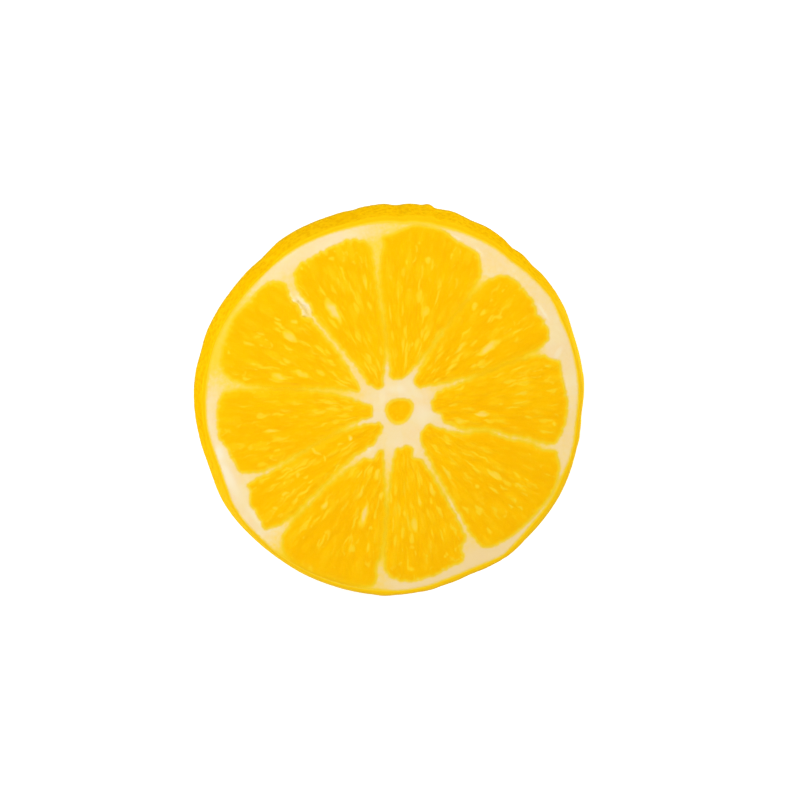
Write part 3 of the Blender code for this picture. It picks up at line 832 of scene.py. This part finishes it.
def fleshWedge(number, tree):
    wedge = makeWedge(number)
    across, along = np.meshgrid(np.linspace(-1, 1, fleshMesh["acrossPoints"]),
                                np.linspace(-1, 1, fleshMesh["alongPoints"]))
    rows, columns = across.shape
    across, along = squaredOval(wedge, across.ravel(), along.ravel())
    flat = placeInWedge(wedge, across, along, fleshMesh["overlap"])
    flat = relaxed(flat.reshape(rows, columns, 2)).reshape(-1, 2)
    outline = wedgeOutline(wedge)
    margin = distanceToLoop(flat, outline) * np.where(insideLoop(flat, outline), 1, -1)
    pale = paleness(wedge, flat)
    film = 0.5 * filmPaleness(flat) * (1 - smooth(margin, 0, fleshMesh["softEdge"]))
    arm = flat - core
    away = np.linalg.norm(arm, axis=1) / mm
    turn = np.unwrap(np.radians(angleOf(arm)))
    lift = smooth(margin, 0, fleshMesh["riseWidth"]) * fleshMesh["rise"] - fleshMesh["below"]
    top = np.c_[flat, pithLevel + lift]
    bottom = np.c_[flat * spread, np.maximum(-lift, fleshMesh["leastHeight"])]
    count = len(flat)
    sacPlace = np.c_[arm / mm * (away ** (juice["narrowing"] - 1))[:, None], np.zeros(count)]
    sacPlace[:, 0] += juice["apart"] * number
    fibrePlace = np.c_[turn * juice["fibresAround"], away * juice["fibresAlong"],
                       np.full(count, number * juice["fibresApart"])]
    faces = gridFaces(rows, columns)
    faces += [tuple(reversed([corner + count for corner in face])) for face in gridFaces(rows, columns)]
    edge = list(range(columns))
    edge += [i * columns + columns - 1 for i in range(1, rows)]
    edge += [(rows - 1) * columns + j for j in range(columns - 2, -1, -1)]
    edge += [i * columns for i in range(rows - 2, 0, -1)]
    faces += bridgeLoops([i + count for i in edge], edge)
    piece = makePiece(f"fleshWedge_{number + 1}", np.vstack([top, bottom]), faces, {
        "sacPlace": np.vstack([sacPlace, sacPlace + (0, juice["sacsBelow"], 0)]),
        "fibrePlace": np.vstack([fibrePlace, fibrePlace + (0, juice["fibresBelow"], 0)]),
        **onBothFaces(margin=margin / mm, pale=pale, film=film),
        "side": np.r_[np.ones(count), -np.ones(count)],
    })
    return growWith(tree, piece, {
        "Sac Scale": juice["scale"], "Randomness": juice["randomness"], "Blend": fleshMesh["domeBlend"],
        "Dome Height": fleshMesh["domeHeight"], "Fine Height": fleshMesh["fineHeight"], "Finish": flesh,
    })


sacTree = juiceSacTree()
fleshPieces = [fleshWedge(number, sacTree) for number in range(len(wedges))]
print("flesh:", len(fleshPieces), "wedges")


# Pith: one sheet with a pocket for each wedge, membranes between them, and the core

pithMesh = {
    "ringPoints": 480,
    "eyePoints": 48,
    "grain": 0.24 * mm,  # spacing of the points in between
    "jitter": 0.25,  # share of that spacing
    "fromPeel": 0.1 * mm,  # the least distances of such a point
    "fromFlesh": 0.09 * mm,
    "overlap": 0.05 * mm,  # how far the sheet reaches past the upper cut's circle
    "rimRoll": 0.02 * mm,
    "lumps": 0.03 * mm,
    "lumpScale": 900.0,
    "darkestSide": -62,  # degrees
    "shadedFrom": (8 * mm, 30 * mm),  # towards that side
    "softEdge": 0.35 * mm,  # the pith turns from yellow to cream over this width
    "softRim": 0.4 * mm,
    "ridgeHeight": 0.22 * mm,
}
eye = {
    "middle": (1.22 * mm, -0.84 * mm),
    "length": 2.28 * mm,
    "width": 1.97 * mm,
    "turn": 32,
    "taper": 0.25,
    "depth": 0.1 * mm,
    "sink": 0.03 * mm,  # of its edge, under the pith
    "hollowBelow": 0.12 * mm,
    "overlap": 0.04,  # share of its size that reaches under the pith
    "aroundPoints": 64,
    "rings": 12,
    "softEdge": 0.6 * mm,
}


def eyeLoop(size, count):
    turn = np.arange(count) * 2 * np.pi / count
    x = eye["length"] * np.cos(turn) * size
    y = eye["width"] * np.sin(turn) * (1 - eye["taper"] * np.cos(turn)) * size
    c, s = math.cos(math.radians(eye["turn"])), math.sin(math.radians(eye["turn"]))
    return np.array(eye["middle"]) + np.stack([x * c - y * s, x * s + y * c], 1)


# places where the pith is whitest, and painted highlights of glints along the flesh's edge on the right (the
# first two on the second row): place on the face (mm), turn, length, width (mm), strength
whitePith = [
    (-26.1, -11.3, 117, 6.5, 1.8, 0.7), (-27.5, -7.5, 100, 3.0, 1.6, 0.9), (-21.0, -18.5, 132, 7.0, 1.2, 0.5),
    (23.9, 14.9, 124, 3.6, 0.5, 1.0), (26.4, 8.2, 60, 2.6, 1.0, 0.5), (9.6, 27.0, 158, 3.0, 0.6, 0.7),
    (13.6, 24.5, 130, 2.5, 0.8, 0.6), (4.6, -1.1, 100, 3.2, 2.2, 0.3), (0.6, 2.6, 0, 3.2, 1.6, 0.45),
    (9.8, -16.5, 298, 6.5, 0.5, 0.6), (-3.4, -7.0, 30, 2.2, 1.4, 0.5),
    (-7.3, 5.9, 128, 2.0, 0.8, 0.5), (-1.6, 1.5, 90, 2.4, 1.2, 0.4), (4.0, 1.6, 130, 2.5, 1.4, 0.4),
]


# torn fibres that stand up from the pith, and the gaps between them, painted juice-yellow and darker as
# painted shade: where they start and end, width (mm)
tornFibres = [((-15.3, 17.6), (-13.4, 16.1), 0.48), ((-13.4, 16.1), (-12.6, 14.5), 0.45),
              ((-16.3, 17.9), (-14.8, 15.7), 0.4), ((-14.8, 15.7), (-14.0, 14.2), 0.42)]
tornGaps = [((-15.2, 16.9), (-14.1, 15.5), 0.28), ((-14.1, 15.5), (-13.4, 14.6), 0.24)]


def alongStrip(points, start, end):
    start, end = np.array(start) * mm, np.array(end) * mm
    share = np.clip((points - start) @ (end - start) / ((end - start) @ (end - start)), 0, 1)
    return share, np.linalg.norm(points - start - share[:, None] * (end - start), axis=1)


def fibreRidges(points):
    total = np.zeros(len(points))
    for start, end, width in tornFibres:
        share, away = alongStrip(points, start, end)
        highest = 0.6 + 1.6 * share * (1 - share)  # at the fibre's middle
        total = np.maximum(total, (1 - smooth(away, 0.1 * mm, width * mm)) * highest)
    return total


# painted shade and juice-yellow in the gaps between the torn fibres
def tornGapSoakAndShade(points):
    total = np.zeros(len(points))
    for start, end, width in tornGaps:
        _, away = alongStrip(points, start, end)
        total = np.maximum(total, 0.85 * (1 - smooth(away, 0.02 * mm, width * mm)))
    return total


# whiter pith and painted highlights of glints
def whiteness(points):
    total = np.zeros(len(points))
    for x, y, turn, length, width, strength in whitePith:
        off = points - np.array((x, y)) * mm
        along, aside = off @ polar(1, turn), off @ polar(1, turn + 90)
        reach = np.hypot(along / (length / 2 * mm), aside / (width / 2 * mm))
        total = np.maximum(total, strength * (1 - smooth(reach, 0.3, 1.3)))
    return total


def pithTree():
    tree, given, out = newTree(
        "pithLumps", "GeometryNodeTree",
        {"Geometry": "Geometry", "Lump Scale": 700.0, "Lump Height": 0.0001, "Finish": "Material"},
        {"Geometry": "Geometry"})
    where = addNode(tree, "GeometryNodeInputPosition").outputs[0]
    lumps = maths(tree, "SUBTRACT", noise(tree, where, given["Lump Scale"]), 0.5)
    height = times(tree, lumps, given["Lump Height"], 2.0, attributeInTree(tree, "side"))
    finishTree(tree, given["Geometry"], upwards(tree, height), given["Finish"], out["Geometry"])
    return tree


def creamShare(points, fromFlesh, fromPeel):
    # 0 where the pith is as yellow as the flesh, 1 where it is plain cream
    edge = 0.5 + 0.5 * smooth(fromFlesh, 0, pithMesh["softEdge"])
    rim = 0.55 + 0.45 * smooth(fromPeel, 0, pithMesh["softRim"])
    return filmPaleness(points) * edge * rim


def pithAndMembranes():
    dice = np.random.default_rng(3)
    ring = rimLoop(lemon["upperRadius"] + pithMesh["overlap"], pithMesh["ringPoints"], 1)
    pockets = [wedgeOutline(makeWedge(number)) for number in range(len(wedges))]
    pockets.append(eyeLoop(1, pithMesh["eyePoints"]))
    reach = lemon["upperRadius"]
    ticks = np.arange(-reach, reach, pithMesh["grain"])
    scatter = np.stack(np.meshgrid(ticks, ticks), -1).reshape(-1, 2)
    jitter = pithMesh["jitter"]
    scatter = scatter + dice.uniform(-jitter, jitter, scatter.shape) * pithMesh["grain"]
    scatter = scatter[np.linalg.norm(scatter, axis=1) < reach]
    scatter = scatter[insideLoop(scatter, ring)]
    scatter = scatter[distanceToLoop(scatter, ring) > pithMesh["fromPeel"]]
    for pocket in pockets:
        scatter = scatter[~insideLoop(scatter, pocket)]
        scatter = scatter[distanceToLoop(scatter, pocket) > pithMesh["fromFlesh"]]
    points, edges, loops = [], [], []
    for loop in [ring] + pockets:
        first = len(points)
        points += list(loop)
        numbers = list(range(first, len(points)))
        edges += list(zip(numbers, numbers[1:] + numbers[:1]))
        loops.append(numbers)
    points = np.array(points + list(scatter))
    found = delaunay_2d_cdt([Vector(p / mm) for p in points], edges, [], 0, 1e-6, True)
    sources = [made[0] for made in found[3]]
    triangles = np.array([[sources[i] for i in face] for face in found[2]])
    middles = points[triangles].mean(1)
    keep = insideLoop(middles, ring)
    for pocket in pockets:
        keep &= ~insideLoop(middles, pocket)
    triangles = triangles[keep]
    fromFlesh = np.full(len(points), np.inf)
    for pocket in pockets:
        fromFlesh = np.minimum(fromFlesh, distanceToLoop(points, pocket))
    fromPeel = distanceToLoop(points, ring)
    roll = (1 - smooth(fromPeel, 0, 0.1 * mm)) * pithMesh["rimRoll"]
    inner = smooth(fromPeel, 0.05 * mm, 0.3 * mm) * smooth(fromFlesh, 0.02 * mm, 0.4 * mm)
    ridges = fibreRidges(points)
    standing = ridges * pithMesh["ridgeHeight"] * smooth(fromFlesh, 0, 0.25 * mm)
    top = np.c_[points, pithLevel - roll + standing]
    bottom = np.c_[points * spread, roll + pithMesh["lumps"] * inner]
    count = len(points)
    faces = triangles.tolist() + (triangles[:, ::-1] + count).tolist()
    faces += bridgeLoops([i + count for i in loops[0]], loops[0])
    for loop in loops[1:]:
        faces += bridgeLoops(loop, [i + count for i in loop])
    cream = creamShare(points, fromFlesh, fromPeel)
    across = points @ polar(1, pithMesh["darkestSide"])
    shade = smooth(across, *pithMesh["shadedFrom"]) * 0.9
    # whiter pith, torn fibres and painted highlights
    white = np.maximum(whiteness(points), ridges)
    piece = makePiece("pithAndMembranes", np.vstack([top, bottom]), faces, {
        **onBothFaces(white=white, cream=cream, gap=tornGapSoakAndShade(points), shade=shade),
        "side": np.r_[inner, -inner],
    })
    return growWith(pithTree(), piece, {
        "Lump Scale": pithMesh["lumpScale"], "Lump Height": pithMesh["lumps"], "Finish": pith,
    })


pithPiece = pithAndMembranes()
print("pith and membranes:", len(pithPiece.data.polygons), "faces")


# Peel: a waxy ring with oil glands

peelMesh = {
    "aroundPoints": 960,
    "wallPoints": 26,
    "glandPitch": 0.85 * mm,
    "pitDepth": 0.07 * mm,
    "ripple": 0.12 * mm,
    "rippleScale": 170.0,
    "footShadeHeight": 1.3 * mm,  # the wall is painted darker below this, a painted shade by the floor
    "cutEdgeDepth": 0.24,  # how far through the skin its rounded edge reaches
    "wallAtEdge": 0.35,  # share of the glands and ripples where the wall meets that edge
    "innerLip": (0.04 * mm, 0.12 * mm),  # inwards and down, under the pith
}


def peelTree():
    tree, given, out = newTree(
        "oilGlands", "GeometryNodeTree",
        {"Geometry": "Geometry", "Glands Per Metre": 1000.0, "Pit Depth": 0.0001,
         "Ripple Scale": 170.0, "Ripple": 0.0001, "Finish": "Material"},
        {"Geometry": "Geometry"})
    where = addNode(tree, "GeometryNodeInputPosition").outputs[0]
    onWall = attributeInTree(tree, "onWall")
    gland = cells(tree, where, given["Glands Per Metre"], 0.8, "F1", "3D").outputs["Distance"]
    pit = times(tree, ramp(tree, gland, 0.6, 0.25), onWall)
    ripples = maths(tree, "SUBTRACT", noise(tree, where, given["Ripple Scale"]), 0.5)
    height = maths(tree, "SUBTRACT", times(tree, ripples, given["Ripple"], onWall),
                   times(tree, pit, given["Pit Depth"]))
    offset = where  # flat, then one metre long, then as long as the height
    for operation, inputs in (("MULTIPLY", {1: (1, 1, 0)}), ("NORMALIZE", {}), ("SCALE", {"Scale": height})):
        node = addNode(tree, "ShaderNodeVectorMath", {"operation": operation}, {0: offset, **inputs})
        offset = node.outputs[0]
    kept = storeInTree(tree, given["Geometry"], "pit", pit)
    finishTree(tree, kept, offset, given["Finish"], out["Geometry"])
    return tree


def cutEdge(radius, level, inwards):
    # from the wall over the rounded edge and across the cut skin; inwards is 1 at the lower cut, -1 above
    rounding = lemon["edgeRounding"]
    rows = []
    for turn in (30, 60, 90):
        c, s = math.cos(math.radians(turn)), math.sin(math.radians(turn))
        rows.append((radius - rounding * (1 - c), level + inwards * rounding * (1 - s),
                     peelMesh["wallAtEdge"] * c, peelMesh["cutEdgeDepth"] * turn / 90))
    for share in (0.4, 0.6, 0.8, 1):
        rows.append((radius - rounding * (1 - share), level, 0, share))
    lip, down = peelMesh["innerLip"]
    return rows + [(radius - lip, level + inwards * down, 0, 1)]


def peelRing():
    # the section runs up the outside, over the upper cut, down the inside and back under
    rounding = lemon["edgeRounding"]
    section = []  # radius, height, how much of it is outer wall, share of the way through the skin
    for share in np.linspace(0, 1, peelMesh["wallPoints"]):
        height = rounding + share * (pithLevel - 2 * rounding)
        radius = lemon["lowerRadius"] + share * (lemon["upperRadius"] - lemon["lowerRadius"])
        radius += lemon["wallBulge"] * 4 * share * (1 - share)
        fromEdge = min(1, 8 * share, 8 * (1 - share))
        section.append((radius, height, peelMesh["wallAtEdge"] + (1 - peelMesh["wallAtEdge"]) * fromEdge, 0))
    section += cutEdge(lemon["upperRadius"], pithLevel, -1)
    section += cutEdge(lemon["lowerRadius"], 0, 1)[::-1]
    around = peelMesh["aroundPoints"]
    points = np.vstack([np.c_[rimLoop(radius, around, depth), np.full(around, height)]
                        for radius, height, _, depth in section])
    faces = gridFaces(len(section), around, 0, True)
    faces += bridgeLoops(list(range((len(section) - 1) * around, len(section) * around)), list(range(around)))
    # painted shade: 1 at the foot of the outer wall, fading out higher up
    footShade = [1 - smooth(row[1], 0.1 * mm, peelMesh["footShadeHeight"]) if row[3] == 0 else 0 for row in section]
    shade = smooth(rimLoop(1, around) @ polar(1, pithMesh["darkestSide"]), -0.35, 0.35)
    piece = makePiece("peelRing", points, faces, {
        "footShade": np.repeat(footShade, around),
        "onWall": np.repeat([row[2] for row in section], around),
        "skinDepth": np.repeat([row[3] for row in section], around),
        "shade": np.tile(shade, len(section)),
    })
    return growWith(peelTree(), piece, {
        "Glands Per Metre": 1 / peelMesh["glandPitch"], "Pit Depth": peelMesh["pitDepth"],
        "Ripple Scale": peelMesh["rippleScale"], "Ripple": peelMesh["ripple"], "Finish": peel,
    })


peelPiece = peelRing()
print("peel:", len(peelPiece.data.polygons), "faces")


# The soft eye in the core

def softEye():
    count, rings, overlap = eye["aroundPoints"], eye["rings"], eye["overlap"]
    shares = np.linspace(1 + overlap, 0, rings, endpoint=False)
    loops = [eyeLoop(share, count) for share in shares]
    dish = [eye["sink"] + smooth(1 - share, -overlap, 0.5) * eye["depth"] for share in shares]
    middle = np.array(eye["middle"])
    top = [np.c_[loop, np.full(count, pithLevel - sink)] for loop, sink in zip(loops, dish)]
    bottom = [np.c_[loop * spread, np.full(count, eye["hollowBelow"])] for loop in loops]
    tops = [[*middle, pithLevel - dish[-1]], [*(middle * spread), eye["hollowBelow"]]]
    points = np.vstack(top + bottom + tops)
    below, tips = rings * count, 2 * rings * count
    faces = [tuple(face) for face in gridFaces(rings, count, 0, True)]
    faces += [tuple(reversed(face)) for face in gridFaces(rings, count, below, True)]
    last, lastBelow = (rings - 1) * count, below + (rings - 1) * count
    faces += [(last + i, last + (i + 1) % count, tips) for i in range(count)]
    faces += [(lastBelow + (i + 1) % count, lastBelow + i, tips + 1) for i in range(count)]
    faces += bridgeLoops([below + i for i in range(count)], list(range(count)))
    arm = points[:, :2] / mm
    film = np.repeat(0.5 * (1 - smooth((1 - shares) * eye["width"], 0, eye["softEdge"])), count)
    piece = makePiece("softEye", points, faces, {
        "sacPlace": np.c_[arm * 0.28 + (7, 3), np.zeros(len(arm))],
        "fibrePlace": np.c_[arm, np.zeros(len(arm))],
        "margin": np.repeat(0.9, len(arm)),
        "pale": np.zeros(len(arm)),
        "film": np.r_[film, film, 0, 0],
        "side": np.ones(len(arm)),
    })
    piece.data.materials.append(flesh)
    return piece


eyePiece = softEye()


# The lemon's bounds are centred, as the frame's are

def middleOfRim():
    finePoints = 1440
    loop = rimLoop(lemon["lowerRadius"], finePoints)
    x, y = (loop.min(0) + loop.max(0)) / 2
    return Vector((x, y, 0))


allPieces = fleshPieces + [pithPiece, peelPiece, eyePiece]
toFrame = -middleOfRim()
for piece in allPieces:
    piece.data.transform(Matrix.Translation(toFrame))


# Floor, light and camera

studio = {
    "floorSize": 3.0,
    "floorLevel": -0.02 * mm,
    "floorColour": (0.45, 0.45, 0.45, 1),
    "floorGlow": 0.78,
    "world": 0.28,
    "lamps": {  # watts, metres across, place
        "keyLight": (0.75, 0.22, (-0.145, 0.153, 0.204)),
        "fillLight": (1.3, 0.6, (0.55, 0.12, 0.6)),
        "sideLight": (1.95, 0.3, (0.52, 0.19, 0.123)),
        "lowLight": (1.3, 0.5, (-0.05, -0.6, 0.55)),
        "leftLight": (1.56, 0.3, (-0.47, -0.29, 0.0875)),
    },
}
camera = {
    "tilt": 12.5,
    "leansTo": 117,
    "lens": 500,
    "sensor": 36,
    "pixel": 0.1587 * mm,
    "clip": (0.01, 10),
    "imageSize": 800,
    "faceMiddle": (392.4, 405.1),  # where the middle of the cut face is in the photo, in pixels
}


def addLight(name, power, size, place):
    data = bpy.data.lights.new(name, "AREA")
    data.energy = power
    data.shape = "DISK"
    data.size = size
    lamp = bpy.data.objects.new(name, data)
    lamp.location = place
    lamp.rotation_euler = (-Vector(place)).to_track_quat("-Z", "Y").to_euler()
    bpy.context.scene.collection.objects.link(lamp)


def addFloor():
    half, level = studio["floorSize"] / 2, studio["floorLevel"]
    corners = [(-half, -half, level), (half, -half, level), (half, half, level), (-half, half, level)]
    mesh = bpy.data.meshes.new("floor")
    mesh.from_pydata(corners, [], [(0, 1, 2, 3)])
    floor = bpy.data.objects.new("floor", mesh)
    bpy.context.scene.collection.objects.link(floor)
    mesh.materials.append(newFinish("paleFloor", {
        "Base Color": studio["floorColour"], "Roughness": 0.9, "Specular IOR Level": 0.1,
        "Emission Color": (1, 1, 1, 1), "Emission Strength": studio["floorGlow"],
    })[0])
    return floor


def addCamera():
    tilt, lean = math.radians(camera["tilt"]), math.radians(camera["leansTo"])
    ahead = Vector((math.cos(lean), math.sin(lean), 0))
    aside = Vector((math.sin(lean), -math.cos(lean), 0))
    towards = ahead * math.sin(tilt) + Vector((0, 0, math.cos(tilt)))
    foreshortened = ahead * math.cos(tilt) - Vector((0, 0, math.sin(tilt)))
    right = foreshortened * math.cos(lean) + aside * math.sin(lean)
    up = foreshortened * math.sin(lean) - aside * math.cos(lean)
    half = camera["imageSize"] / 2
    x, y = camera["faceMiddle"]
    step = camera["pixel"]
    aim = toFrame + Vector((0, 0, pithLevel)) + right * (half - x) * step + up * (y - half) * step
    distance = camera["imageSize"] * step * camera["lens"] / camera["sensor"]
    data = bpy.data.cameras.new("camera")
    data.lens = camera["lens"]
    data.sensor_width = camera["sensor"]
    data.clip_start, data.clip_end = camera["clip"]
    eyePoint = bpy.data.objects.new("camera", data)
    turn = Matrix((right, up, towards)).transposed().to_4x4()
    eyePoint.matrix_world = Matrix.Translation(aim + towards * distance) @ turn
    bpy.context.scene.collection.objects.link(eyePoint)
    bpy.context.scene.camera = eyePoint


def addWorld():
    world = bpy.data.worlds.new("softRoom")
    world.use_nodes = True
    background = world.node_tree.nodes["Background"]
    background.inputs["Color"].default_value = (1, 1, 1, 1)
    background.inputs["Strength"].default_value = studio["world"]
    bpy.context.scene.world = world


floor = addFloor()
for name, (power, size, place) in studio["lamps"].items():
    addLight(name, power, size, place)
addWorld()
addCamera()
bpy.context.scene.view_settings.view_transform = "Standard"
print("studio set")

for piece in allPieces:
    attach(piece, "root")
    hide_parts("lemon_slice")
